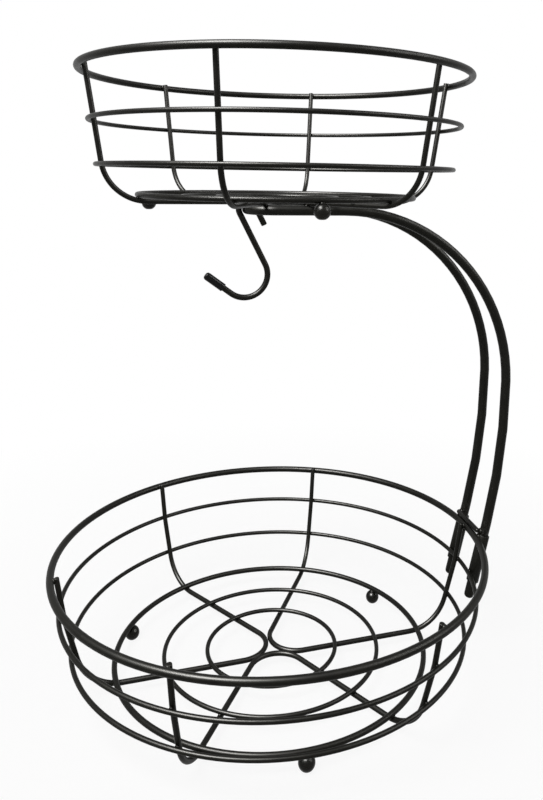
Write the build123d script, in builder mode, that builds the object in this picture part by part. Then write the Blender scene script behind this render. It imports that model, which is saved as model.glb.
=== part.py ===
from build123d import *
from math import asin, atan, ceil, cos, degrees, hypot, pi, radians, sin, sqrt, tan
import os

os.makedirs("parts", exist_ok=True)

# A two-tier fruit basket of welded wire. The lower basket stands on three ball feet and holds
# a bent arm in two sleeves. The arm carries the upper basket, and a hook for bananas hangs from
# the arm's nose. Sizes are in millimetres and angles in degrees.
# Z = 0 is the surface it stands on, the Z axis is the lower basket's centre line, and the arm's
# plane of symmetry is the XZ plane, with its legs on the +X side.

# Wire diameters
rim_wire = 4.9
side_wire = 3.1
outer_base_wire = 3.8
inner_base_wire = 3.0
rib_wire = 3.6
arm_wire = 7.0
bar_wire = 3.6
hook_wire = 4.2

# Welds and clearances
weld_depth = 0.1  # how far two welded wires sink into each other
apex_gap = 0.2  # between the three bent wires' noses at a basket's middle
rest_gap = 0.1  # between the crossbar and the lower rim under it, besides what their flats leave
slide_fit = 0.1  # round an arm leg in its sleeve, on the radius
hang_gap = 0.3  # between the hook and the wire that it hangs on
cap_fit = 0.02  # round the wire inside the rubber cap, on the radius

# Lower basket: ring sizes are to the wires' centre lines, heights are above the floor wires'.
# The outer base ring is inset from the rim, and the others are shares of it.
lower_rim_radius = 150.0
lower_rim_height = 75.3
lower_upper_side_height = 49.8
lower_lower_side_height = 22.9
lower_outer_base_inset = 41.0
lower_middle_base_share = 0.694
lower_inner_base_share = 0.419
lower_elbow_radius = 30.0
lower_apex_radius = 20.0
lower_brim_angle = 10.0  # how far the ribs lean out above the upper side ring
lower_flare_angle = 16.0  # and below it
lower_turn_angle = 33.0  # of the first bent wire's middle line
lower_last_wire_angle = -2.5  # how far the third bent wire is off even spacing

# Upper basket
upper_rim_radius = 134.0
upper_rim_height = 87.8
upper_upper_side_height = 53.8
upper_lower_side_height = 24.3
upper_outer_base_inset = 38.6
upper_middle_base_share = 0.692
upper_inner_base_share = 0.44
upper_elbow_radius = 30.5
upper_apex_radius = 10.5
upper_flare_angle = 9.5
upper_turn_angle = 35.9

# Bent wires of both baskets
wires_in_basket = 3
wire_half_spread = 30.0  # from a bent wire's middle line to each of its floor legs
rib_end = 2.4  # how far a rib's cut end stands above the rim's centre line
rib_bend_radius = 40.0

# Ball feet
foot_diameter = 10.4
foot_last_latitude = 70.0
lower_foot_angles = (-2.0, 0.0, 0.6)  # how far each ball lies off its bent wire

# Arm, its crossbar and its sleeves
leg_spacing = 36.4
sleeve_diameter = 9.0
sleeve_above_rim = 0.8
sleeve_below_side_ring = 7.5
leg_below_sleeve = 12.6
leg_end_chamfer = 1.1
arm_rise = 242.8  # from the lower rim to the level wires
straight_above_bar = 4.0
leg_bend_radius = 446.0
nose_reach = 21.3  # past the centre line

# Banana hook
hook_tilt = 27.0
hook_stub_length = 15.5
hook_shank_length = 40.5
hook_bend_radius = 16.0
hook_tip_rise = 36.5
hook_tip_length = 20.8
cap_diameter = 5.8
cap_length = 15.8
cap_wall_end = 1.6
cap_bevel = 1.2

# How finely the wires are drawn: the flats round a wire, and a ring's straight runs
thick_flat_count = 8
thin_flat_count = 6
ball_flats = 12
ball_bands = 2  # above a ball's middle, and as many below
ring_run = 23.0  # a ring's runs are about this long


def save(piece, name):
    piece.part.label = name
    export_step(piece.part, f"parts/{name}.step")


def ring(name, radius, height, wire, flats, corner_turn=0):
    """A closed ring of wire. Its straight runs lie half inside and half outside the true circle."""
    runs = ceil(2 * pi * radius / ring_run)
    reach = 2 * radius / (1 + cos(pi / runs))
    corners = [Vector(reach, 0, height).rotate(Axis.Z, 360 * i / runs) for i in range(runs)]
    first_run = corners[1] - corners[0]
    with BuildPart() as piece:
        with BuildLine() as path:
            Polyline(*corners, close=True)
        with BuildSketch(Plane(corners[0], x_dir=first_run.cross(Vector(0, 0, 1)), z_dir=first_run)):
            RegularPolygon(wire / 2, flats, rotation=corner_turn)
        sweep(path=path.wire(), transition=Transition.RIGHT)
    save(piece, name)
    return piece


class Basket:
    """The line of a basket's bent wires, seen in the upright plane of one rib and its floor leg."""

    def __init__(self, rim_radius, rim_height, bend_height, elbow, apex, brim_angle, flare_angle, turns):
        self.rim_radius = rim_radius
        self.rim_height = rim_height
        self.bend_height = bend_height
        self.elbow = elbow
        self.apex = apex
        self.brim_slope = tan(radians(brim_angle))
        self.slope = tan(radians(flare_angle))
        self.turns = turns
        # The noses all but touch round the middle, so each leg passes the centre line at one side
        nose_centre = (apex + (rib_wire + apex_gap) / 2) / sin(pi / wires_in_basket)
        self.aside = apex - nose_centre * sin(radians(wire_half_spread))
        # The ribs stand inside the rings
        rim_seat = self.seat(rim_wire) * hypot(1, self.brim_slope)
        self.rim_reach = sqrt(rim_radius**2 - self.aside**2) - rim_seat
        self.bend_reach = self.rim_reach - (rim_height - bend_height) * self.brim_slope
        self.corner = self.bend_reach - bend_height * self.slope
        self.flat_end = self.corner - elbow * tan(radians((90 - flare_angle) / 2))
        self.floor = 0.0

    def seat(self, wire):
        """From a rib's centre line to that of a wire welded across it."""
        return (wire + rib_wire) / 2 - weld_depth

    def side_radius(self, height, wire):
        """The radius of a ring that lies round the ribs at a height."""
        seat = self.seat(wire)
        lean = hypot(1, self.slope)
        if height < self.elbow * (1 - self.slope / lean) - seat * self.slope / lean:
            reach = self.flat_end + sqrt((self.elbow + seat) ** 2 - (self.elbow - height) ** 2)
        elif height < self.bend_height:
            reach = self.corner + height * self.slope + seat * lean
        else:
            reach = self.bend_reach + (height - self.bend_height) * self.brim_slope + seat * lean
        return hypot(reach, self.aside)

    def base_tilt(self, radius, wire):
        """How steep the floor wires are under a base ring: level at first, then into the elbows."""
        past_flat = sqrt(radius**2 - self.aside**2) - self.flat_end
        return asin(max(past_flat, 0) / (self.elbow - self.seat(wire)))

    def base_height(self, radius, wire):
        """The height of a ring that lies on the floor legs or in their elbows."""
        return self.elbow - (self.elbow - self.seat(wire)) * cos(self.base_tilt(radius, wire))

    def point(self, middle, side, reach, height):
        """A point on one of the two ribs of the bent wire whose middle line has this turn."""
        along = radians(middle + side * wire_half_spread)
        aside = side * self.aside
        return Vector(
            reach * cos(along) - aside * sin(along),
            reach * sin(along) + aside * cos(along),
            self.floor + height,
        )

    def rib_points(self, middle, side):
        """A rib's cut end, its slight bend if it has one, and the corner of its elbow."""
        end = (self.rim_reach + rib_end * self.brim_slope, self.rim_height + rib_end)
        bend = (self.bend_reach, self.bend_height)
        corner = (self.corner, 0)
        places = (end, bend, corner) if self.bend_height > 0 else (end, corner)
        return [self.point(middle, side, reach, height) for reach, height in places]


def bent_wire(name, basket, middle):
    """One wire bent from a rib, across the floor to a nose near the middle, and back to a rib."""
    first_rib = basket.rib_points(middle, -1)
    last_rib = basket.rib_points(middle, 1)[::-1]
    tip = basket.point(middle, 1, -basket.aside / tan(radians(wire_half_spread)), 0)
    slight_bends = [rib_bend_radius] * (len(first_rib) - 2)
    radii = slight_bends + [basket.elbow, basket.apex, basket.elbow] + slight_bends
    first_run = first_rib[1] - first_rib[0]
    aside = first_run.cross(first_rib[-1] - tip)
    with BuildPart() as piece:
        with BuildLine() as path:
            FilletPolyline(*first_rib, tip, *last_rib, radius=radii)
        with BuildSketch(Plane(first_rib[0], x_dir=first_run.cross(aside), z_dir=first_run)):
            RegularPolygon(rib_wire / 2, thin_flat_count)
        sweep(path=path.wire())
    save(piece, name)
    return piece


def ball_foot(name, basket, turn, outer_radius, outer_height):
    """A ball with a small flat above and below, welded under the outer base ring."""
    radius = foot_diameter / 2
    centre_height = outer_height - outer_base_wire / 2 - foot_rise + weld_depth
    centre = Vector(outer_radius, 0, centre_height).rotate(Axis.Z, turn)
    latitudes = [radians(foot_last_latitude * band / ball_bands) for band in range(ball_bands + 1)]
    with BuildPart() as piece:
        for low, high in zip(latitudes, latitudes[1:]):
            rise = radius * (sin(high) - sin(low))
            narrowing = radius * (cos(low) - cos(high)) * cos(pi / ball_flats)
            with BuildSketch(Plane(centre + Vector(0, 0, radius * sin(low)))):
                RegularPolygon(radius * cos(low), ball_flats)
            extrude(amount=rise, taper=degrees(atan(narrowing / rise)))
        mirror(about=Plane(centre))
    save(piece, name)
    return piece


def weld_basket(prefix, basket, side_heights, base_radii, foot_turns):
    """Every piece of one basket. The base rings lie on the floor wires."""
    ring(f"{prefix}_rim_ring", basket.rim_radius, basket.floor + basket.rim_height, rim_wire, thick_flat_count)
    for place, height in zip(("upper", "lower"), side_heights):
        radius = basket.side_radius(height, side_wire)
        ring(f"{prefix}_side_ring_{place}", radius, basket.floor + height, side_wire, thin_flat_count)
    base_wires = (outer_base_wire, inner_base_wire, inner_base_wire)
    base_flats = (thick_flat_count, thin_flat_count, thin_flat_count)
    for place, radius, wire, flats in zip(("outer", "middle", "inner"), base_radii, base_wires, base_flats):
        height = basket.floor + basket.base_height(radius, wire)
        corner_turn = 90 + degrees(basket.base_tilt(radius, wire))
        ring(f"{prefix}_base_ring_{place}", radius, height, wire, flats, corner_turn)
    outer_height = basket.floor + basket.base_height(base_radii[0], outer_base_wire)
    for number, middle in enumerate(basket.turns, start=1):
        bent_wire(f"{prefix}_rib_wire_{number}", basket, middle)
    for number, turn in enumerate(foot_turns, start=1):
        ball_foot(f"{prefix}_foot_{number}", basket, turn, base_radii[0], outer_height)


# A foot's half height, between its small flats
foot_rise = foot_diameter / 2 * sin(radians(foot_last_latitude))

# Lower basket, lifted until its feet stand on Z = 0
lower_turns = [lower_turn_angle + 360 * i / wires_in_basket for i in range(wires_in_basket)]
lower_turns[-1] += lower_last_wire_angle
lower_foot_turns = [turn + angle for turn, angle in zip(lower_turns, lower_foot_angles)]
lower = Basket(
    lower_rim_radius,
    lower_rim_height,
    lower_upper_side_height,
    lower_elbow_radius,
    lower_apex_radius,
    lower_brim_angle,
    lower_flare_angle,
    lower_turns,
)
lower_outer_base_radius = lower_rim_radius - lower_outer_base_inset
lower_middle_base_radius = lower_outer_base_radius * lower_middle_base_share
lower_inner_base_radius = lower_outer_base_radius * lower_inner_base_share
lower_outer_height = lower.base_height(lower_outer_base_radius, outer_base_wire)
lower.floor = 2 * foot_rise + outer_base_wire / 2 - weld_depth - lower_outer_height
weld_basket(
    "lower",
    lower,
    (lower_upper_side_height, lower_lower_side_height),
    (lower_outer_base_radius, lower_middle_base_radius, lower_inner_base_radius),
    lower_foot_turns,
)
rim_height = lower.floor + lower_rim_height

# Where a sleeve's axis passes the rim and the upper side ring, both of which it is welded to
side_ring_height = lower.floor + lower_upper_side_height
side_ring_radius = lower.side_radius(lower_upper_side_height, side_wire)
rim_offset = (rim_wire + sleeve_diameter) / 2 - weld_depth
side_offset = (side_wire + sleeve_diameter) / 2 - weld_depth
rim_pass = sqrt((lower_rim_radius + rim_offset) ** 2 - (leg_spacing / 2) ** 2)
side_pass = sqrt((side_ring_radius + side_offset) ** 2 - (leg_spacing / 2) ** 2)
leg_slope = (rim_pass - side_pass) / (rim_height - side_ring_height)
leg_lean = degrees(atan(leg_slope))
leg_way = Vector(leg_slope, 0, 1).normalized()


def on_leg(height, side):
    """A point on a leg's centre line, in its straight stretch through the sleeve."""
    return Vector(rim_pass + (height - rim_height) * leg_slope, side * leg_spacing / 2, height)


# Sleeves: open tubes, welded outside the lower basket's rim and upper side ring
sleeve_bottom = side_ring_height - sleeve_below_side_ring
sleeve_length = (rim_height + sleeve_above_rim - sleeve_bottom) / leg_way.Z
for number, side in enumerate((-1, 1), start=1):
    with BuildPart() as sleeve:
        with BuildSketch(Plane(on_leg(sleeve_bottom, side), x_dir=(0, 1, 0), z_dir=leg_way)):
            Circle(sleeve_diameter / 2)
            Circle(arm_wire / 2 + slide_fit, mode=Mode.SUBTRACT)
        extrude(amount=sleeve_length)
    save(sleeve, f"lower_sleeve_{number}")

# Crossbar: welded inside the two legs, it lies on the lower rim and stops the arm
bar_offset = ((arm_wire + bar_wire) / 2 - weld_depth) * hypot(1, leg_slope)
bar_start = rim_pass - bar_offset - lower_rim_radius
bar_reach = (rim_wire + bar_wire) / 2 + rest_gap
bar_rise = sqrt(bar_reach**2 * (1 + leg_slope**2) - bar_start**2) - bar_start * leg_slope
bar_rise = bar_rise / (1 + leg_slope**2)
bar_x = lower_rim_radius + bar_start + bar_rise * leg_slope
with BuildPart() as crossbar:
    bar_end = Vector(bar_x, -leg_spacing / 2, rim_height + bar_rise)
    with BuildSketch(Plane(bar_end, x_dir=(1, 0, 0), z_dir=(0, 1, 0))):
        RegularPolygon(bar_wire / 2, thick_flat_count)
    extrude(amount=leg_spacing)
save(crossbar, "arm_crossbar")

# Arm: one wire, bent into a long hairpin. Its legs stand in the sleeves, lean outwards, straighten
# up and bend over to the level stretch under the upper basket, which ends in a round nose.
leg_foot_height = sleeve_bottom - leg_below_sleeve * leg_way.Z
bend_start_height = rim_height + bar_rise + bar_wire / 2 + straight_above_bar
level_height = rim_height + arm_rise
upright_height = bend_start_height + leg_bend_radius * sin(radians(leg_lean))
shoulder_radius = level_height - upright_height
nose_radius = leg_spacing / 2
with BuildPart() as arm:
    with BuildLine(Plane.XZ.offset(nose_radius)) as one_side:
        foot = on_leg(leg_foot_height, -1)
        bend_start = on_leg(bend_start_height, -1)
        leg = Line((foot.X, foot.Z), (bend_start.X, bend_start.Z))
        straighten = JernArc(leg @ 1, leg % 1, leg_bend_radius, leg_lean)
        shoulder = JernArc(straighten @ 1, straighten % 1, shoulder_radius, 90)
        nose_start = Vector(nose_radius - nose_reach, -nose_radius, level_height)
        Line(shoulder @ 1, nose_start)
    with BuildLine() as path:
        add(one_side.line)
        nose_tip = Vector(-nose_reach, 0, level_height)
        nose_end = Vector(nose_start.X, nose_radius, level_height)
        ThreePointArc(nose_start, nose_tip, nose_end)
        mirror(one_side.line, about=Plane.XZ)
    with BuildSketch(Plane(foot, x_dir=(0, 1, 0), z_dir=leg_way)):
        RegularPolygon(arm_wire / 2, thick_flat_count)
    sweep(path=path.wire())
    chamfer(arm.faces().sort_by(Axis.Z)[:2].edges(), leg_end_chamfer)
save(arm, "arm_wire")

# Upper basket, with straight ribs, and with its floor wires on the arm's level stretch
upper = Basket(
    upper_rim_radius,
    upper_rim_height,
    0,
    upper_elbow_radius,
    upper_apex_radius,
    upper_flare_angle,
    upper_flare_angle,
    [upper_turn_angle + 360 * i / wires_in_basket for i in range(wires_in_basket)],
)
upper_outer_base_radius = upper_rim_radius - upper_outer_base_inset
upper_middle_base_radius = upper_outer_base_radius * upper_middle_base_share
upper_inner_base_radius = upper_outer_base_radius * upper_inner_base_share
upper.floor = level_height + (arm_wire + rib_wire) / 2 - weld_depth
weld_basket(
    "upper",
    upper,
    (upper_upper_side_height, upper_lower_side_height),
    (upper_outer_base_radius, upper_middle_base_radius, upper_inner_base_radius),
    upper.turns,
)

# Banana hook: a wire that hangs over the arm's nose by its small upper loop. It lies in the
# arm's plane of symmetry, and its shank slants, because the hook hangs in balance.
loop_radius = arm_wire / 2 + hang_gap + hook_wire / 2
down_shank = Vector(sin(radians(hook_tilt)), 0, -cos(radians(hook_tilt)))
to_shank = Vector(-cos(radians(hook_tilt)), 0, -sin(radians(hook_tilt)))
hang_point = Vector(-nose_reach, 0, level_height)
with BuildPart() as hook:
    with BuildLine(Plane.XZ) as path:
        stub_top = hang_point - to_shank * loop_radius
        stub = Line(stub_top + down_shank * hook_stub_length, stub_top)
        loop = JernArc(stub @ 1, stub % 1, loop_radius, 180)
        shank = Line(loop @ 1, loop @ 1 + loop % 1 * hook_shank_length)
        bend = JernArc(shank @ 1, shank % 1, hook_bend_radius, -(90 + hook_tilt + hook_tip_rise))
        tip = Line(bend @ 1, bend @ 1 + bend % 1 * hook_tip_length)
    with BuildSketch(Plane(path.wire() @ 0, x_dir=(0, 1, 0), z_dir=path.wire() % 0)):
        RegularPolygon(hook_wire / 2, thin_flat_count, rotation=90)
    sweep(path=path.wire())
save(hook, "hook_wire")

# Rubber cap on the hook's tip, with a bevelled end
tip_way = path.wire() % 1
tip_end = path.wire() @ 1
with BuildPart() as cap:
    with BuildSketch(Plane(tip_end + tip_way * cap_wall_end, x_dir=(0, 1, 0), z_dir=-tip_way)):
        Circle(cap_diameter / 2)
    extrude(amount=cap_length)
    chamfer(cap.faces().sort_by(Axis(tip_end, tip_way))[-1].edges(), cap_bevel)
    with BuildSketch(Plane(tip_end, x_dir=(0, 1, 0), z_dir=-tip_way)):
        Circle(hook_wire / 2 + cap_fit)
    extrude(amount=cap_length, mode=Mode.SUBTRACT)
save(cap, "hook_cap")
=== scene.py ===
from math import asin, cos, degrees, exp, hypot, pi, radians, sin, sqrt, tan

import bpy
import numpy as np
from mathutils import Matrix, Vector


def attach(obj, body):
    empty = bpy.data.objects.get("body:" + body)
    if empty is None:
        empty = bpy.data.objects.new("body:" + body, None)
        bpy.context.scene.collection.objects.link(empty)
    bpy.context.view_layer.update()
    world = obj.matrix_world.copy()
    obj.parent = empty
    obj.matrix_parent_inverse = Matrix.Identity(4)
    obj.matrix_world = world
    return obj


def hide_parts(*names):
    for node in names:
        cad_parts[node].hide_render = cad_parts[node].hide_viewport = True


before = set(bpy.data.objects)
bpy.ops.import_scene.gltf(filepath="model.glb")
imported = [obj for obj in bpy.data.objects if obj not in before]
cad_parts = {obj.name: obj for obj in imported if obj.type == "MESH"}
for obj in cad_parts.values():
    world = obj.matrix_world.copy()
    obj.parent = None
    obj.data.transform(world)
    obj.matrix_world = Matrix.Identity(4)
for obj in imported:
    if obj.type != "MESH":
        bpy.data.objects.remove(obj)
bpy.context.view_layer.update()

# The looks of a two-tier wire fruit basket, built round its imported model. Each faceted wire,
# ball and tube of the model is replaced by a round one with rounded ends, small welds are added
# where wires cross, and all of it has a black coating, apart from the hook's rubber cap. Sizes are
# in millimetres and angles in degrees, as in the model's source, unless a line says otherwise. They
# become metres when a mesh is made.
MM = 0.001

# Wire diameters
rim_wire = 4.9
side_wire = 3.1
outer_base_wire = 3.8
inner_base_wire = 3.0
rib_wire = 3.6
arm_wire = 7.0
bar_wire = 3.6
hook_wire = 4.2

# Welds and clearances
weld_depth = 0.1
apex_gap = 0.2
rest_gap = 0.1
slide_fit = 0.1
hang_gap = 0.3
cap_fit = 0.02

# Bent wires of both baskets
wires_in_basket = 3
wire_half_spread = 30.0
rib_end = 2.4
rib_bend_radius = 40.0

# Ball feet
foot_diameter = 10.4
foot_last_latitude = 70.0
foot_profile_step = 6
foot_flat_share = 0.8  # of the ball's width at its last latitude
foot_scuff_reach = 4.0

# Arm, its crossbar and its sleeves
leg_spacing = 36.4
sleeve_diameter = 9.0
sleeve_above_rim = 0.8
sleeve_below_side_ring = 7.5
sleeve_lip = 0.28
lip_rounding = (0.35, 0.3)  # shares of the lip's size, along and across
leg_below_sleeve = 12.6
arm_rise = 242.8
straight_above_bar = 4.0
leg_bend_radius = 446.0
nose_reach = 21.3

# Banana hook
hook_tilt = 27.0
hook_stub_length = 15.5
hook_shank_length = 40.5
hook_bend_radius = 16.0
hook_tip_rise = 36.5
hook_tip_length = 20.8
cap_diameter = 5.8
cap_length = 15.8
cap_wall_end = 1.6

# Lower basket
lower_rim_radius = 150.0
lower_rim_height = 75.3
lower_side_heights = (49.8, 22.9)
lower_outer_base_radius = 109.0
lower_base_shares = (1, 0.694, 0.419)
lower_elbow = 30.0
lower_apex = 20.0
lower_brim_flare = 10.0
lower_flare = 16.0
lower_turns = (33.0, 153.0, 270.5)
lower_foot_angles = (-2.0, 0.0, 0.6)  # how far each ball lies off its bent wire
lower_seams = (214, 96, 331, 147, 262, 38)  # where each ring's ends are welded together

# Upper basket
upper_rim_radius = 134.0
upper_rim_height = 87.8
upper_side_heights = (53.8, 24.3)
upper_outer_base_radius = 95.4
upper_base_shares = (1, 0.692, 0.44)
upper_elbow = 30.5
upper_apex = 10.5
upper_flare = 9.5
upper_turns = (35.9, 155.9, 275.9)
upper_seams = (165, 301, 52, 118, 20, 240)

# Small fillets where wires touch, and the butt weld of a ring
fillet_width = (0.80, 0.25)  # share of the thinner wire's radius, and an addition
fillet_depth = (0.36, 0.05)
fillet_bands = 6
fillet_sides = 12
search_gap = 0.25
thick_fillet = 1.25  # how much larger it is at the rim and the crossbar
foot_fillet_radius = 2.6
bar_fillet_radius = 2.1
bar_fillet_shift = 0.6
seam_swell = 0.035
seam_length = 1.5
seam_places = (-5, -3.4, -2.3, -1.5, -0.8, 0, 0.8, 1.5, 2.3, 3.4, 5)
seam_clearance = 6.5

# How finely the round pieces are drawn
ring_step = 2.4  # degrees round a ring
bend_step = 4.0  # degrees round a bend
search_step = 0.4  # mm along a wire, when its welds are looked for
rim_sides = 20
thin_ring_sides = 14
rib_sides = 16
arm_sides = 24
bar_sides = 18
hook_sides = 20
lathe_sides = 28

# How finely the materials are patterned, in features per metre
patch_scale = 90.0
peel_scale = 1500.0
grain_scale = 5200.0
speck_scale = 330.0
worn_scale = 620.0
haze_scale = 260.0
dust_scale = 3800.0
middle_range = (0.3, 0.7)  # the part of a noise's range that is stretched

# How the coating and the rubber look. Colours are linear.
coating_colours = (0.0032, 0.0031, 0.0021), (0.0056, 0.0054, 0.0037)
speck_colour = (0.030, 0.029, 0.027)
speck_share = 0.35
speck_edge = (0.05, 0.13)
rubbed_colour = (0.060, 0.058, 0.056)
rubbed_gloss = 0.12
rubbed_core = 0.35  # share of a rubbed place's reach that is fully rubbed
rubbed_edge = (0.50, 0.62)
rubbed_share = 0.7
rubbed_reach = {"sleeve": 13, "nose": 7, "loop": 6}
coating_roughness = (0.31, 0.42)
grain_roughness = (-0.03, 0.05)
grain_height = 0.25  # against the orange peel's height
speck_height = 0.6
coating_bump = (0.28, 0.00003)  # strength, and distance in metres
coating_specular = 0.030
coating_tint = (1.0, 0.97, 0.84, 1.0)
coat_weight = (0.10, 0.5)  # at no gloss, and how much more at full gloss
coat_roughness = (0.36, -0.8)
foot_gloss = 0.14
rubber_colours = (0.0032, 0.0032, 0.0030), (0.0064, 0.0062, 0.0058)
rubber_roughness = (0.13, 0.22)
dust_edge = (0.35, 0.7)
dust_roughness = (-0.02, 0.04)
rubber_bump = (0.35, 0.00002)
rubber_specular = 0.10

# Floor and world. Near the basket a little of the floor's own shading shows, with its shadow.
floor_half = 6  # metres
floor_shade = 0.86
shadow_reach = (0.20, 0.55)  # metres from the middle
shadow_blank = (0.90, 1.0)  # how white the floor is there, and further out
world_strength = 0.30


# Lines of the wires


class Basket:
    """The line of a basket's bent wires, as the model's source works it out."""

    def __init__(self, name, rim_radius, rim_height, bend_height, elbow, apex, brim_flare, flare, turns):
        self.name = name
        self.rim_radius = rim_radius
        self.rim_height = rim_height
        self.bend_height = bend_height
        self.elbow = elbow
        self.apex = apex
        self.brim_slope = tan(radians(brim_flare))
        self.slope = tan(radians(flare))
        self.turns = turns
        nose_centre = (2 * apex + rib_wire + apex_gap) / (2 * sin(pi / wires_in_basket))
        self.aside = apex - nose_centre * sin(radians(wire_half_spread))
        rim_seat = self.seat(rim_wire) * hypot(1, self.brim_slope)
        self.rim_reach = sqrt(rim_radius**2 - self.aside**2) - rim_seat
        self.bend_reach = self.rim_reach - (rim_height - bend_height) * self.brim_slope
        self.corner = self.bend_reach - bend_height * self.slope
        self.flat_end = self.corner - elbow * tan(radians(45 - flare / 2))
        self.floor = 0.0

    def seat(self, wire):
        return (wire + rib_wire) / 2 - weld_depth

    def side_radius(self, height, wire):
        seat = self.seat(wire)
        lean = hypot(1, self.slope)
        if height < self.elbow * (1 - self.slope / lean) - seat * self.slope / lean:
            reach = self.flat_end + sqrt((self.elbow + seat) ** 2 - (self.elbow - height) ** 2)
        elif height < self.bend_height:
            reach = self.corner + height * self.slope + seat * lean
        else:
            reach = self.bend_reach + (height - self.bend_height) * self.brim_slope + seat * lean
        return hypot(reach, self.aside)

    def base_height(self, radius, wire):
        past_flat = sqrt(radius**2 - self.aside**2) - self.flat_end
        tilt = asin(max(past_flat, 0) / (self.elbow - self.seat(wire)))
        return self.elbow - (self.elbow - self.seat(wire)) * cos(tilt)

    def point(self, middle, side, reach, height):
        along = radians(middle + side * wire_half_spread)
        aside = side * self.aside
        return Vector((
            reach * cos(along) - aside * sin(along),
            reach * sin(along) + aside * cos(along),
            self.floor + height,
        ))

    def rib_points(self, middle, side):
        end = (self.rim_reach + rib_end * self.brim_slope, self.rim_height + rib_end)
        bend = (self.bend_reach, self.bend_height)
        corner = (self.corner, 0)
        places = (end, bend, corner) if self.bend_height > 0 else (end, corner)
        return [self.point(middle, side, reach, height) for reach, height in places]

    def wire_line(self, middle):
        """One bent wire: a rib, a floor leg, a nose near the middle, a floor leg and a rib."""
        first = self.rib_points(middle, -1)
        last = self.rib_points(middle, 1)[::-1]
        tip = self.point(middle, 1, -self.aside / tan(radians(wire_half_spread)), 0)
        slight = [rib_bend_radius] * (len(first) - 2)
        return rounded(first + [tip] + last, slight + [self.elbow, self.apex, self.elbow] + slight)


def rounded(corners, radii):
    """The points of a line whose inner corners are rounded to these radii."""
    points = [corners[0]]
    for before, corner, after, radius in zip(corners, corners[1:], corners[2:], radii):
        back = (before - corner).normalized()
        ahead = (after - corner).normalized()
        half = back.angle(ahead) / 2
        centre = corner + (back + ahead).normalized() * radius / sin(half)
        start = corner + back * radius / tan(half)
        axis = back.cross(start - centre)
        points += turned(start, centre, axis, 180 - degrees(2 * half))
    return points + [corners[-1]]


def turned(start, centre, axis, angle):
    """The points of an arc from a start, round a centre."""
    steps = max(2, round(abs(angle) / bend_step))
    spin = [Matrix.Rotation(radians(angle * i / steps), 3, axis) for i in range(steps + 1)]
    return [centre + turn @ (start - centre) for turn in spin]


def resampled(points):
    """The same line in short even steps, as an array of places and one of directions."""
    line = np.array([tuple(p) for p in points])
    runs = np.linalg.norm(np.diff(line, axis=0), axis=1)
    far = np.concatenate([[0], np.cumsum(runs)])
    at = np.linspace(0, far[-1], max(2, int(far[-1] / search_step)))
    places = np.stack([np.interp(at, far, line[:, i]) for i in range(3)], axis=1)
    ways = np.gradient(places, axis=0)
    return places, ways / np.linalg.norm(ways, axis=1)[:, None]


# Meshes


def mesh_piece(name, body, material, points, faces, nodes=()):
    """A smooth mesh piece that rides on a body and stands for some of the model's nodes."""
    mesh = bpy.data.meshes.new(name)
    mesh.from_pydata([tuple(MM * c for c in p) for p in points], [], faces)
    mesh.polygons.foreach_set("use_smooth", [True] * len(mesh.polygons))
    mesh.materials.append(material)
    mesh.update()
    piece = bpy.data.objects.new(name, mesh)
    bpy.context.scene.collection.objects.link(piece)
    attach(piece, body)
    if nodes:
        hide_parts(*nodes)


# Profiles of a wire's end: how far from the end, and how thick, in shares of its radius
CUT_END = ((0.0, 0.60), (0.03, 0.84), (0.12, 0.965), (0.30, 1.0))
ROUND_END = ((0.0, 0.34), (0.07, 0.60), (0.22, 0.82), (0.45, 0.95), (0.75, 1.0))


def swept(points, radius, sides, closed=False, end=CUT_END, swell=None):
    """A round wire along a line."""
    line = [Vector(p) for p in points]
    count = len(line)
    ways = []
    for i in range(count):
        if closed:
            ways.append((line[(i + 1) % count] - line[i - 1]).normalized())
        else:
            ways.append((line[min(i + 1, count - 1)] - line[max(i - 1, 0)]).normalized())
    stations = [(p, w, 1.0) for p, w in zip(line, ways)]
    if not closed:
        first = [(line[0] + ways[0] * s * radius, ways[0], size) for s, size in end]
        last = [(line[-1] - ways[-1] * s * radius, ways[-1], size) for s, size in end]
        stations = first + stations[1:-1] + last[::-1]
    if swell:
        stations = [(p, w, size * swell(p)) for p, w, size in stations]
    across = stations[0][1].orthogonal().normalized()
    if closed:
        across = Vector((0, 0, 1))
    verts, faces = [], []
    way = stations[0][1]
    for place, new_way, size in stations:
        if not closed:
            across = way.rotation_difference(new_way) @ across
        way = new_way
        across = (across - way * across.dot(way)).normalized()
        other = way.cross(across)
        for k in range(sides):
            turn = 2 * pi * k / sides
            verts.append(place + (across * cos(turn) + other * sin(turn)) * radius * size)
    rows = len(stations)
    for i in range(rows if closed else rows - 1):
        for k in range(sides):
            a, b = i * sides + k, i * sides + (k + 1) % sides
            c, d = ((i + 1) % rows) * sides + (k + 1) % sides, ((i + 1) % rows) * sides + k
            faces.append((a, b, c, d))
    if not closed:
        for centre, row, flip in ((stations[0][0], 0, True), (stations[-1][0], rows - 1, False)):
            verts.append(centre)
            hub = len(verts) - 1
            for k in range(sides):
                a, b = row * sides + k, row * sides + (k + 1) % sides
                faces.append((hub, b, a) if flip else (hub, a, b))
    return verts, faces


def lathed(start, way, profile, sides, loop=False):
    """A profile of (distance along, radius) pairs, turned round an axis."""
    way = way.normalized()
    across = way.orthogonal().normalized()
    other = way.cross(across)
    verts, faces = [], []
    for along, radius in profile:
        for k in range(sides):
            turn = 2 * pi * k / sides
            verts.append(start + way * along + (across * cos(turn) + other * sin(turn)) * radius)
    rows = len(profile)
    for i in range(rows if loop else rows - 1):
        for k in range(sides):
            a, b = i * sides + k, i * sides + (k + 1) % sides
            c, d = ((i + 1) % rows) * sides + (k + 1) % sides, ((i + 1) % rows) * sides + k
            faces.append((a, b, c, d))
    if not loop:
        faces.append(tuple(range(sides))[::-1])
        faces.append(tuple(range((rows - 1) * sides, rows * sides)))
    return verts, faces


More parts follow.
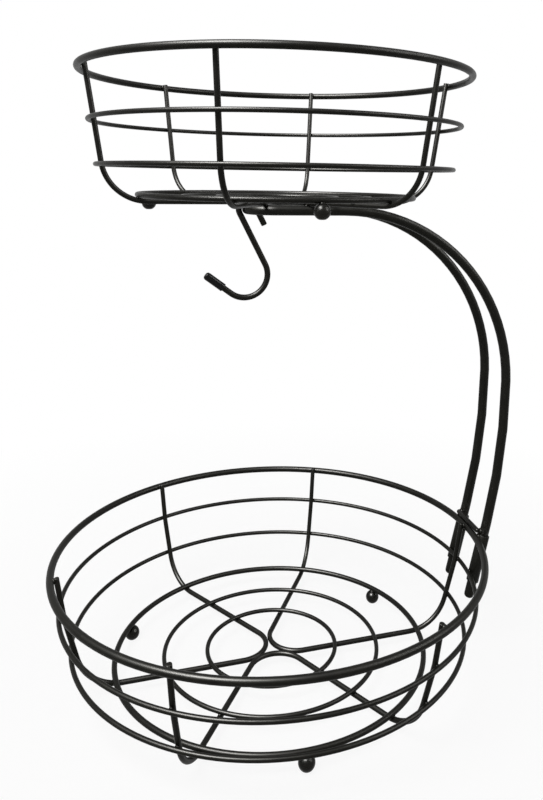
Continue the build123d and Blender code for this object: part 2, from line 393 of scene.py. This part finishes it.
def ring_line(radius, height, seam):
    """A circle's points, with closer ones round its butt weld."""
    fine = [seam + degrees(place / radius) for place in seam_places]
    count = round(360 / ring_step)
    clear = degrees(seam_clearance / radius)
    even = [seam + clear + (360 - 2 * clear) * i / (count - 1) for i in range(count)]
    middle = len(fine) // 2
    turns = fine[middle:] + even + [f + 360 for f in fine[:middle]]
    return [Vector((radius * cos(radians(t)), radius * sin(radians(t)), height)) for t in turns]


def ring(node, body, radius, height, wire, sides, seam):
    """A ring of round wire, slightly thicker where its two ends are welded together."""
    line = ring_line(radius, height, seam)

    def swell(place):
        return 1 + seam_swell * exp(-((place - line[0]).length / seam_length) ** 2)

    verts, faces = swept(line, wire / 2, sides, closed=True, swell=swell)
    mesh_piece(f"{node}_round", body, coating, verts, faces, [node])


# Materials


def material(name):
    made = bpy.data.materials.new(name)
    made.use_nodes = True
    return made, made.node_tree.nodes, made.node_tree.links, made.node_tree.nodes["Principled BSDF"]


def noise(nodes, links, coords, scale, detail=2.0, rough=0.5):
    made = nodes.new("ShaderNodeTexNoise")
    made.inputs["Scale"].default_value = scale
    made.inputs["Detail"].default_value = detail
    made.inputs["Roughness"].default_value = rough
    links.new(coords, made.inputs["Vector"])
    return made.outputs["Fac"]


def ranged(nodes, links, source, low, high, to_low, to_high):
    made = nodes.new("ShaderNodeMapRange")
    for key, value in zip(("From Min", "From Max", "To Min", "To Max"), (low, high, to_low, to_high)):
        made.inputs[key].default_value = value
    links.new(source, made.inputs["Value"])
    return made.outputs["Result"]


def math_node(nodes, links, kind, first, second):
    made = nodes.new("ShaderNodeMath")
    made.operation = kind
    for socket, value in zip(made.inputs, (first, second)):
        if isinstance(value, (int, float)):
            socket.default_value = value
        else:
            links.new(value, socket)
    return made.outputs[0]


def seen_directly(nodes, links):
    """1 for the rays that see the white background: from the camera, off gloss and through glass."""
    rays = nodes.new("ShaderNodeLightPath").outputs
    seen = math_node(nodes, links, "ADD", rays["Is Camera Ray"], rays["Is Glossy Ray"])
    return math_node(nodes, links, "ADD", seen, rays["Is Transmission Ray"])


def mixed_colour(nodes, links, share, first, second):
    made = nodes.new("ShaderNodeMix")
    made.data_type = "RGBA"
    links.new(share, made.inputs["Factor"])
    for key, value in (("A", first), ("B", second)):
        socket = [s for s in made.inputs if s.name == key and s.type == "RGBA"][0]
        if isinstance(value, tuple):
            socket.default_value = (*value, 1)
        else:
            links.new(value, socket)
    return [s for s in made.outputs if s.type == "RGBA"][0]


def bumped(nodes, links, shader, height, relief):
    made = nodes.new("ShaderNodeBump")
    for key, value in zip(("Strength", "Distance"), relief):
        made.inputs[key].default_value = value
    links.new(height, made.inputs["Height"])
    links.new(made.outputs["Normal"], shader.inputs["Normal"])


def coated(name, rubs=(), gloss=0.0):
    """Satin black coating: a fine orange peel, patches of sheen, specks, and rubbed places.

    Each rubbed place is a centre in millimetres and how far the rubbing reaches."""
    made, nodes, links, shader = material(name)
    coords = nodes.new("ShaderNodeTexCoord").outputs["Object"]
    patches = noise(nodes, links, coords, patch_scale, 3.0)
    peel = noise(nodes, links, coords, peel_scale)
    grain = noise(nodes, links, coords, grain_scale)
    specks = nodes.new("ShaderNodeTexVoronoi")
    specks.inputs["Scale"].default_value = speck_scale
    links.new(coords, specks.inputs["Vector"])
    speck = ranged(nodes, links, specks.outputs["Distance"], *speck_edge, 1.0, 0.0)

    sheen = ranged(nodes, links, patches, *middle_range, 0.0, 1.0)
    colour = mixed_colour(nodes, links, sheen, *coating_colours)
    share = math_node(nodes, links, "MULTIPLY", speck, speck_share)
    colour = mixed_colour(nodes, links, share, colour, speck_colour)
    smooth, rough = coating_roughness
    roughness = ranged(nodes, links, patches, *middle_range, smooth - gloss, rough - gloss)
    uneven = ranged(nodes, links, grain, *middle_range, *grain_roughness)
    roughness = math_node(nodes, links, "ADD", roughness, uneven)
    for centre, reach in rubs:
        apart = nodes.new("ShaderNodeVectorMath")
        apart.operation = "DISTANCE"
        links.new(coords, apart.inputs[0])
        apart.inputs[1].default_value = [MM * c for c in centre]
        edge = (MM * reach * rubbed_core, MM * reach)
        near = ranged(nodes, links, apart.outputs["Value"], *edge, 1.0, 0.0)
        broken = noise(nodes, links, coords, worn_scale, 4.0, 0.7)
        worn = ranged(nodes, links, broken, *rubbed_edge, 0.0, rubbed_share)
        share = math_node(nodes, links, "MULTIPLY", near, worn)
        colour = mixed_colour(nodes, links, share, colour, rubbed_colour)
        smoother = math_node(nodes, links, "MULTIPLY", share, rubbed_gloss)
        roughness = math_node(nodes, links, "SUBTRACT", roughness, smoother)
    links.new(colour, shader.inputs["Base Color"])
    links.new(roughness, shader.inputs["Roughness"])

    grains = math_node(nodes, links, "MULTIPLY", grain, grain_height)
    raised = math_node(nodes, links, "MULTIPLY", speck, speck_height)
    height = math_node(nodes, links, "ADD", peel, grains)
    height = math_node(nodes, links, "ADD", height, raised)
    bumped(nodes, links, shader, height, coating_bump)
    shader.inputs["Specular IOR Level"].default_value = coating_specular
    shader.inputs["Specular Tint"].default_value = coating_tint
    shader.inputs["Coat Weight"].default_value = coat_weight[0] + coat_weight[1] * gloss
    shader.inputs["Coat Roughness"].default_value = coat_roughness[0] + coat_roughness[1] * gloss
    return made


def rubber(name):
    """Glossy black rubber with faint mould haze and dust."""
    made, nodes, links, shader = material(name)
    coords = nodes.new("ShaderNodeTexCoord").outputs["Object"]
    haze = noise(nodes, links, coords, haze_scale, 3.0)
    dust = noise(nodes, links, coords, dust_scale)
    dusty = ranged(nodes, links, haze, *dust_edge, 0.0, 1.0)
    colour = mixed_colour(nodes, links, dusty, *rubber_colours)
    links.new(colour, shader.inputs["Base Color"])
    roughness = ranged(nodes, links, haze, *middle_range, *rubber_roughness)
    uneven = ranged(nodes, links, dust, *middle_range, *dust_roughness)
    roughness = math_node(nodes, links, "ADD", roughness, uneven)
    links.new(roughness, shader.inputs["Roughness"])
    bumped(nodes, links, shader, dust, rubber_bump)
    shader.inputs["Specular IOR Level"].default_value = rubber_specular
    return made


# Where everything is

foot_rise = foot_diameter / 2 * sin(radians(foot_last_latitude))
lower_foot_turns = [turn + angle for turn, angle in zip(lower_turns, lower_foot_angles)]
lower = Basket(
    "lower", lower_rim_radius, lower_rim_height, lower_side_heights[0],
    lower_elbow, lower_apex, lower_brim_flare, lower_flare, lower_turns,
)
lower_bases = [lower_outer_base_radius * share for share in lower_base_shares]
lower.floor = 2 * foot_rise + outer_base_wire / 2 - weld_depth
lower.floor -= lower.base_height(lower_bases[0], outer_base_wire)
rim_height = lower.floor + lower.rim_height
side_ring_height = lower.floor + lower_side_heights[0]
side_ring_radius = lower.side_radius(lower_side_heights[0], side_wire)
rim_offset = (rim_wire + sleeve_diameter) / 2 - weld_depth
side_offset = (side_wire + sleeve_diameter) / 2 - weld_depth
rim_pass = sqrt((lower.rim_radius + rim_offset) ** 2 - (leg_spacing / 2) ** 2)
side_pass = sqrt((side_ring_radius + side_offset) ** 2 - (leg_spacing / 2) ** 2)
leg_slope = (rim_pass - side_pass) / (rim_height - side_ring_height)
leg_way = Vector((leg_slope, 0, 1)).normalized()
level_height = rim_height + arm_rise

upper = Basket(
    "upper", upper_rim_radius, upper_rim_height, 0,
    upper_elbow, upper_apex, upper_flare, upper_flare, upper_turns,
)
upper_bases = [upper_outer_base_radius * share for share in upper_base_shares]
upper.floor = level_height + (arm_wire + rib_wire) / 2 - weld_depth

hang_point = Vector((-nose_reach, 0, level_height))


def on_leg(height, side):
    """The point at a height on the straight part of one of the arm's legs."""
    return Vector((rim_pass + (height - rim_height) * leg_slope, side * leg_spacing / 2, height))


sleeve_bottom = side_ring_height - sleeve_below_side_ring
sleeve_length = (rim_height + sleeve_above_rim - sleeve_bottom) / leg_way.z
sleeve_top = on_leg(rim_height + sleeve_above_rim, 1)

coating = coated("satin_black_coating")
arm_coating = coated(
    "satin_black_coating_rubbed_arm",
    [
        ((sleeve_top.x, side * leg_spacing / 2, sleeve_top.z + 1), rubbed_reach["sleeve"])
        for side in (-1, 1)
    ]
    + [((hang_point.x, 0, hang_point.z + 2), rubbed_reach["nose"])],
)
hook_coating = coated(
    "satin_black_coating_rubbed_hook",
    [((hang_point.x, 0, hang_point.z + 1), rubbed_reach["loop"])],
)
foot_coating = coated(
    "satin_black_coating_scuffed_feet",
    [
        ((lower_bases[0] * cos(radians(t)), lower_bases[0] * sin(radians(t)), 0), foot_scuff_reach)
        for t in lower_foot_turns
    ],
    gloss=foot_gloss,
)
cap_rubber = rubber("black_rubber")


# Welds

weld_points = {"lower_basket": [], "arm": []}


def weld(body, place, normal, first_way, first_radius, second_radius, size=1.0):
    """A small smooth fillet of coating round the place where two wires touch."""
    small = min(first_radius, second_radius)
    wide = size * (fillet_width[0] * small + fillet_width[1])
    deep = size * (fillet_depth[0] * small + fillet_depth[1])
    ways = Vector(normal).normalized(), Vector(first_way).normalized()
    weld_points[body].append((Vector(place), *ways, wide, deep))


def nearest_places(apart, reach):
    """Where along a line the distance to another one is smallest, if it is within reach."""
    inner = range(1, len(apart) - 1)
    return [i for i in inner if apart[i] < reach and apart[i - 1] >= apart[i] < apart[i + 1]]


def weld_on_ring(body, line, wire, radius, height, ring_wire):
    """Finds where a wire's line touches a ring and welds them there."""
    places, ways = resampled(line)
    out = np.hypot(places[:, 0], places[:, 1])
    apart = np.hypot(out - radius, places[:, 2] - height)
    share = wire / (wire + ring_wire)
    size = thick_fillet if ring_wire == rim_wire else 1.0
    for i in nearest_places(apart, (wire + ring_wire) / 2 + search_gap):
        on_ring = np.array([places[i, 0] * radius / out[i], places[i, 1] * radius / out[i], height])
        normal = on_ring - places[i]
        weld(body, places[i] + normal * share, normal, ways[i], wire / 2, ring_wire / 2, size)


def weld_on_line(body, line, wire, other, other_wire):
    """Finds where two wires touch and welds them there."""
    places, ways = resampled(line)
    others, _ = resampled(other)
    gaps = np.linalg.norm(places[:, None, :] - others[None, :, :], axis=2)
    nearest = gaps.argmin(axis=1)
    apart = gaps.min(axis=1)
    share = wire / (wire + other_wire)
    for i in nearest_places(apart, (wire + other_wire) / 2 + search_gap):
        normal = others[nearest[i]] - places[i]
        weld(body, places[i] + normal * share, normal, ways[i], wire / 2, other_wire / 2)


def weld_piece(name, body):
    """All of a body's fillets in one mesh. Each is a flat ball."""
    bands, sides = fillet_bands, fillet_sides
    verts, faces = [], []
    for place, normal, way, wide, deep in weld_points[body]:
        way = (way - normal * way.dot(normal)).normalized()
        other = normal.cross(way)
        base = len(verts)
        verts.append(place - normal * deep)
        for band in range(1, bands):
            latitude = pi * band / bands
            for k in range(sides):
                turn = 2 * pi * k / sides
                flat = (way * cos(turn) + other * sin(turn)) * wide * sin(latitude)
                verts.append(place + flat - normal * deep * cos(latitude))
        verts.append(place + normal * deep)
        last = len(verts) - 1
        for k in range(sides):
            k2 = (k + 1) % sides
            faces.append((base, base + 1 + k2, base + 1 + k))
            for band in range(bands - 2):
                row = base + 1 + band * sides
                faces.append((row + k, row + k2, row + sides + k2, row + sides + k))
            row = base + 1 + (bands - 2) * sides
            faces.append((last, row + k, row + k2))
    mesh_piece(name, body, coating, verts, faces)


# Baskets


def basket(lines, body, side_heights, bases, foot_turns, seams, carriers=()):
    """A basket's rings, bent wires and feet, and its welds to the lines of what carries it."""
    name = lines.name
    rings = [(f"{name}_rim_ring", lines.rim_radius, lines.rim_height, rim_wire, rim_sides)]
    for place, height in zip(("upper", "lower"), side_heights):
        radius = lines.side_radius(height, side_wire)
        rings.append((f"{name}_side_ring_{place}", radius, height, side_wire, thin_ring_sides))
    base_wires = (outer_base_wire, inner_base_wire, inner_base_wire)
    for place, radius, wire in zip(("outer", "middle", "inner"), bases, base_wires):
        height = lines.base_height(radius, wire)
        rings.append((f"{name}_base_ring_{place}", radius, height, wire, thin_ring_sides))
    for (node, radius, height, wire, sides), seam in zip(rings, seams):
        ring(node, body, radius, lines.floor + height, wire, sides, seam)
    outer_height = lines.floor + lines.base_height(bases[0], outer_base_wire)
    for number, middle in enumerate(lines.turns, start=1):
        line = lines.wire_line(middle)
        verts, faces = swept(line, rib_wire / 2, rib_sides)
        node = f"{name}_rib_wire_{number}"
        mesh_piece(f"{node}_round", body, coating, verts, faces, [node])
        for _, radius, height, wire, _ in rings:
            weld_on_ring(body, line, rib_wire, radius, lines.floor + height, wire)
        for carrier in carriers:
            weld_on_line(body, line, rib_wire, carrier, arm_wire)
    for number, turn in enumerate(foot_turns, start=1):
        ball_foot(f"{name}_foot_{number}", body, turn, bases[0], outer_height)


def ball_foot(node, body, middle, out, outer_height):
    """A ball with a small worn flat below, and its weld to the outer base ring."""
    radius = foot_diameter / 2
    centre = Vector((out * cos(radians(middle)), out * sin(radians(middle)), 0))
    centre.z = outer_height - outer_base_wire / 2 - foot_rise + weld_depth
    flat = radius * cos(radians(foot_last_latitude)) * foot_flat_share
    last = foot_last_latitude // foot_profile_step
    latitudes = [radians(foot_profile_step * i) for i in range(-int(last), int(last) + 1)]
    sphere = [(radius * sin(latitude), radius * cos(latitude)) for latitude in latitudes]
    profile = [(-foot_rise, flat)] + sphere + [(foot_rise, flat)]
    verts, faces = lathed(centre, Vector((0, 0, 1)), profile, lathe_sides)
    mesh_piece(f"{node}_round", body, foot_coating, verts, faces, [node])
    along = Vector((-sin(radians(middle)), cos(radians(middle)), 0))
    top = centre + Vector((0, 0, foot_rise))
    weld(body, top, (0, 0, 1), along, foot_fillet_radius, foot_fillet_radius)


basket(lower, "lower_basket", lower_side_heights, lower_bases, lower_foot_turns, lower_seams)

# Sleeves: open tubes with rounded lips
lip = sleeve_lip
inner, outer = arm_wire / 2 + slide_fit, sleeve_diameter / 2
lip_along, lip_across = [lip * share for share in lip_rounding]
lower_end = [(lip_along, inner + lip_across), (0, inner + lip)]
lower_end += [(0, outer - lip), (lip_along, outer - lip_across), (lip, outer)]
upper_end = [(sleeve_length - along, radius) for along, radius in [(lip, inner)] + lower_end]
sleeve_profile = lower_end[1:] + upper_end[::-1] + [(lip, inner), lower_end[0]]
for number, side in enumerate((-1, 1), start=1):
    start = on_leg(sleeve_bottom, side)
    verts, faces = lathed(start, leg_way, sleeve_profile, lathe_sides, loop=True)
    faces = [f[::-1] for f in faces]
    node = f"lower_sleeve_{number}"
    mesh_piece(f"{node}_round", "lower_basket", coating, verts, faces, [node])
    axis = [start, start + leg_way * sleeve_length]
    weld_on_ring("lower_basket", axis, sleeve_diameter, lower.rim_radius, rim_height, rim_wire)
    weld_on_ring("lower_basket", axis, sleeve_diameter, side_ring_radius, side_ring_height, side_wire)

# Arm and its crossbar

bar_offset = ((arm_wire + bar_wire) / 2 - weld_depth) * hypot(1, leg_slope)
bar_start = rim_pass - bar_offset - lower.rim_radius
bar_reach = (rim_wire + bar_wire) / 2 + rest_gap
bar_rise = sqrt(bar_reach**2 * (1 + leg_slope**2) - bar_start**2) - bar_start * leg_slope
bar_rise = bar_rise / (1 + leg_slope**2)
bar_x = lower.rim_radius + bar_start + bar_rise * leg_slope
bar_z = rim_height + bar_rise

leg_foot_height = sleeve_bottom - leg_below_sleeve * leg_way.z
bend_start_height = rim_height + bar_rise + bar_wire / 2 + straight_above_bar
leg_lean = degrees(np.arctan(leg_slope))
upright_height = bend_start_height + leg_bend_radius * sin(radians(leg_lean))
shoulder_radius = level_height - upright_height
nose_radius = leg_spacing / 2


def arm_side(side):
    """One side of the arm, from its leg's end to where its nose starts."""
    y_axis = Vector((0, 1, 0))
    start = on_leg(bend_start_height, side)
    to_centre = Vector((-leg_way.z, 0, leg_way.x))
    straighten = turned(start, start + to_centre * leg_bend_radius, y_axis, -leg_lean)
    top = straighten[-1]
    shoulder = turned(top, top - Vector((shoulder_radius, 0, 0)), y_axis, -90)
    nose_start = Vector((nose_radius - nose_reach, side * nose_radius, level_height))
    return [on_leg(leg_foot_height, side)] + straighten + shoulder[1:] + [nose_start]


near_side, far_side = arm_side(-1), arm_side(1)
nose_centre = Vector((nose_radius - nose_reach, 0, level_height))
nose = turned(near_side[-1], nose_centre, Vector((0, 0, 1)), -180)
arm_line = near_side[:-1] + nose + far_side[::-1][1:]
verts, faces = swept(arm_line, arm_wire / 2, arm_sides, end=ROUND_END)
mesh_piece("arm_wire_round", "arm", arm_coating, verts, faces, ["arm_wire"])

bar_line = [Vector((bar_x, side * leg_spacing / 2, bar_z)) for side in (-1, 1)]
verts, faces = swept(bar_line, bar_wire / 2, bar_sides, end=ROUND_END)
mesh_piece("arm_crossbar_round", "arm", arm_coating, verts, faces, ["arm_crossbar"])
for side, bar_end in zip((-1, 1), bar_line):
    leg_there = on_leg(bar_z, side)
    leg_there += leg_way * (bar_end - leg_there).dot(leg_way)
    normal = leg_there - bar_end
    place = bar_end + normal.normalized() * bar_wire / 2 - Vector((0, side * bar_fillet_shift, 0))
    weld("arm", place, normal, (0, 1, 0), bar_fillet_radius, bar_fillet_radius, thick_fillet)

basket(upper, "arm", upper_side_heights, upper_bases, upper_turns, upper_seams, [arm_line])

# Hook and its cap

loop_radius = arm_wire / 2 + hang_gap + hook_wire / 2
tilt = radians(hook_tilt)
down_shank = Vector((sin(tilt), 0, -cos(tilt)))
to_shank = Vector((-cos(tilt), 0, -sin(tilt)))
y_axis = Vector((0, 1, 0))
stub_top = hang_point - to_shank * loop_radius
loop = turned(stub_top, hang_point, y_axis, -180)
shank_end = loop[-1] + down_shank * hook_shank_length
bend_centre = shank_end + to_shank * hook_bend_radius
bend_turn = 90 + hook_tilt + hook_tip_rise
bend = turned(shank_end, bend_centre, y_axis, bend_turn)
tip_way = Matrix.Rotation(radians(bend_turn), 3, y_axis) @ down_shank
tip_end = bend[-1] + tip_way * hook_tip_length
hook_line = [stub_top + down_shank * hook_stub_length] + loop + bend + [tip_end]
verts, faces = swept(hook_line, hook_wire / 2, hook_sides)
mesh_piece("hook_wire_round", "hook", hook_coating, verts, faces, ["hook_wire"])

# The cap: a domed end, a slight bead at the mouth, and a lip that turns in to the wire
cap_radius = cap_diameter / 2
mouth = hook_wire / 2 + cap_fit
cap_dome = [
    (0.00, 0.9), (0.05, 1.45), (0.25, 1.95), (0.62, 2.38), (1.10, 2.68),
    (1.75, cap_radius - 0.04), (2.5, cap_radius),
]
cap_bead = [
    (1.3, cap_radius), (0.75, cap_radius + 0.06), (0.35, cap_radius + 0.02),
    (0.08, cap_radius - 0.22), (0, cap_radius - 0.5), (0.1, mouth + 0.08), (0.6, mouth - 0.05),
]
cap_profile = cap_dome + [(cap_length - before_mouth, radius) for before_mouth, radius in cap_bead]
verts, faces = lathed(tip_end + tip_way * cap_wall_end, -tip_way, cap_profile, lathe_sides)
mesh_piece("hook_cap_round", "hook", cap_rubber, verts, faces, ["hook_cap"])

weld_piece("lower_welds", "lower_basket")
weld_piece("arm_welds", "arm")

# Floor, light and camera


def two_faced(tree, output_kind, plain, direct, seen):
    """Shows one shader to most rays and another to those that see the background."""
    mix = tree.nodes.new("ShaderNodeMixShader")
    tree.links.new(seen, mix.inputs[0])
    tree.links.new(plain.outputs[0], mix.inputs[1])
    tree.links.new(direct.outputs[0], mix.inputs[2])
    output = tree.nodes.new(output_kind)
    tree.links.new(mix.outputs[0], output.inputs["Surface"])


def plain_shader(tree, kind, shade, strength=None):
    made = tree.nodes.new(kind)
    made.inputs["Color"].default_value = (shade, shade, shade, 1)
    if strength is not None:
        made.inputs["Strength"].default_value = strength
    return made


floor_mesh = bpy.data.meshes.new("floor")
corners = [(x * floor_half, y * floor_half, 0) for x, y in ((-1, -1), (1, -1), (1, 1), (-1, 1))]
floor_mesh.from_pydata(corners, [], [(0, 1, 2, 3)])
floor = bpy.data.objects.new("floor", floor_mesh)
bpy.context.scene.collection.objects.link(floor)
floor_material = bpy.data.materials.new("white_floor")
floor_material.use_nodes = True
tree = floor_material.node_tree
tree.nodes.clear()
ground = tree.nodes.new("ShaderNodeNewGeometry")
away = tree.nodes.new("ShaderNodeVectorMath")
away.operation = "LENGTH"
tree.links.new(ground.outputs["Position"], away.inputs[0])
blank = ranged(tree.nodes, tree.links, away.outputs["Value"], *shadow_reach, *shadow_blank)
seen = math_node(tree.nodes, tree.links, "MULTIPLY", seen_directly(tree.nodes, tree.links), blank)
diffuse = plain_shader(tree, "ShaderNodeBsdfDiffuse", floor_shade)
bright = plain_shader(tree, "ShaderNodeEmission", 1, 1.0)
two_faced(tree, "ShaderNodeOutputMaterial", diffuse, bright, seen)
floor_mesh.materials.append(floor_material)

world = bpy.data.worlds.new("studio")
bpy.context.scene.world = world
world.use_nodes = True
tree = world.node_tree
tree.nodes.clear()
sky = plain_shader(tree, "ShaderNodeBackground", 1, world_strength)
white = plain_shader(tree, "ShaderNodeBackground", 1, 1.0)
two_faced(tree, "ShaderNodeOutputWorld", sky, white, seen_directly(tree.nodes, tree.links))


# Lamps: places in metres, sizes in metres, powers in watts
lamp_target = (0, 0, 0.2)


def lamp(name, place, size, power):
    """A round lamp that faces the middle of the basket."""
    light = bpy.data.lights.new(name, "AREA")
    light.shape = "DISK"
    light.size = size
    light.energy = power
    made = bpy.data.objects.new(name, light)
    made.location = place
    made.rotation_mode = "QUATERNION"
    made.rotation_quaternion = (Vector(lamp_target) - Vector(place)).to_track_quat("-Z", "Y")
    bpy.context.scene.collection.objects.link(made)
    return made


above_place = (-0.97, -0.71, 1.97)
left_place = (-1.6, -0.3, 0.8)
right_place = (1.45, -0.72, 1.3)
large, small = 1.1, 0.8
lamp("lamp_above", above_place, large, 26)
lamp("lamp_left", left_place, small, 4)
lamp("lamp_right", right_place, small, 4)
# These two only strengthen the highlights of the lamps that they stand with
lamp("shine_above", above_place, large, 800).visible_diffuse = False
lamp("shine_right", right_place, large, 90).visible_diffuse = False

# The camera stands where the photograph was taken from. Its angles are in degrees.
eye_above_rim = 266.08
eye = Vector((-98.21, -543.12, rim_height + eye_above_rim)) * MM
look_turn = radians(74.918)
look_down = radians(2.3838)
roll = radians(0.9458)
focal_px = 780.49
shift_px = (71.73, -190.17)
frame_px = (543, 800)
ahead = Vector((cos(look_turn) * cos(look_down), sin(look_turn) * cos(look_down), -sin(look_down)))
level_right = Vector((sin(look_turn), -cos(look_turn), 0))
level_up = level_right.cross(ahead)
right = level_right * cos(roll) + level_up * sin(roll)
up = level_up * cos(roll) - level_right * sin(roll)
lens = bpy.data.cameras.new("camera")
camera = bpy.data.objects.new("camera", lens)
bpy.context.scene.collection.objects.link(camera)
lens.sensor_width = 36
lens.lens = focal_px * lens.sensor_width / max(frame_px)
lens.shift_x = -shift_px[0] / max(frame_px)
lens.shift_y = shift_px[1] / max(frame_px)
lens.clip_start = 0.01
stand = Matrix((right, up, -ahead)).transposed().to_4x4()
stand.translation = eye
camera.matrix_world = stand
bpy.context.scene.camera = camera

bpy.context.scene.view_settings.view_transform = "Standard"
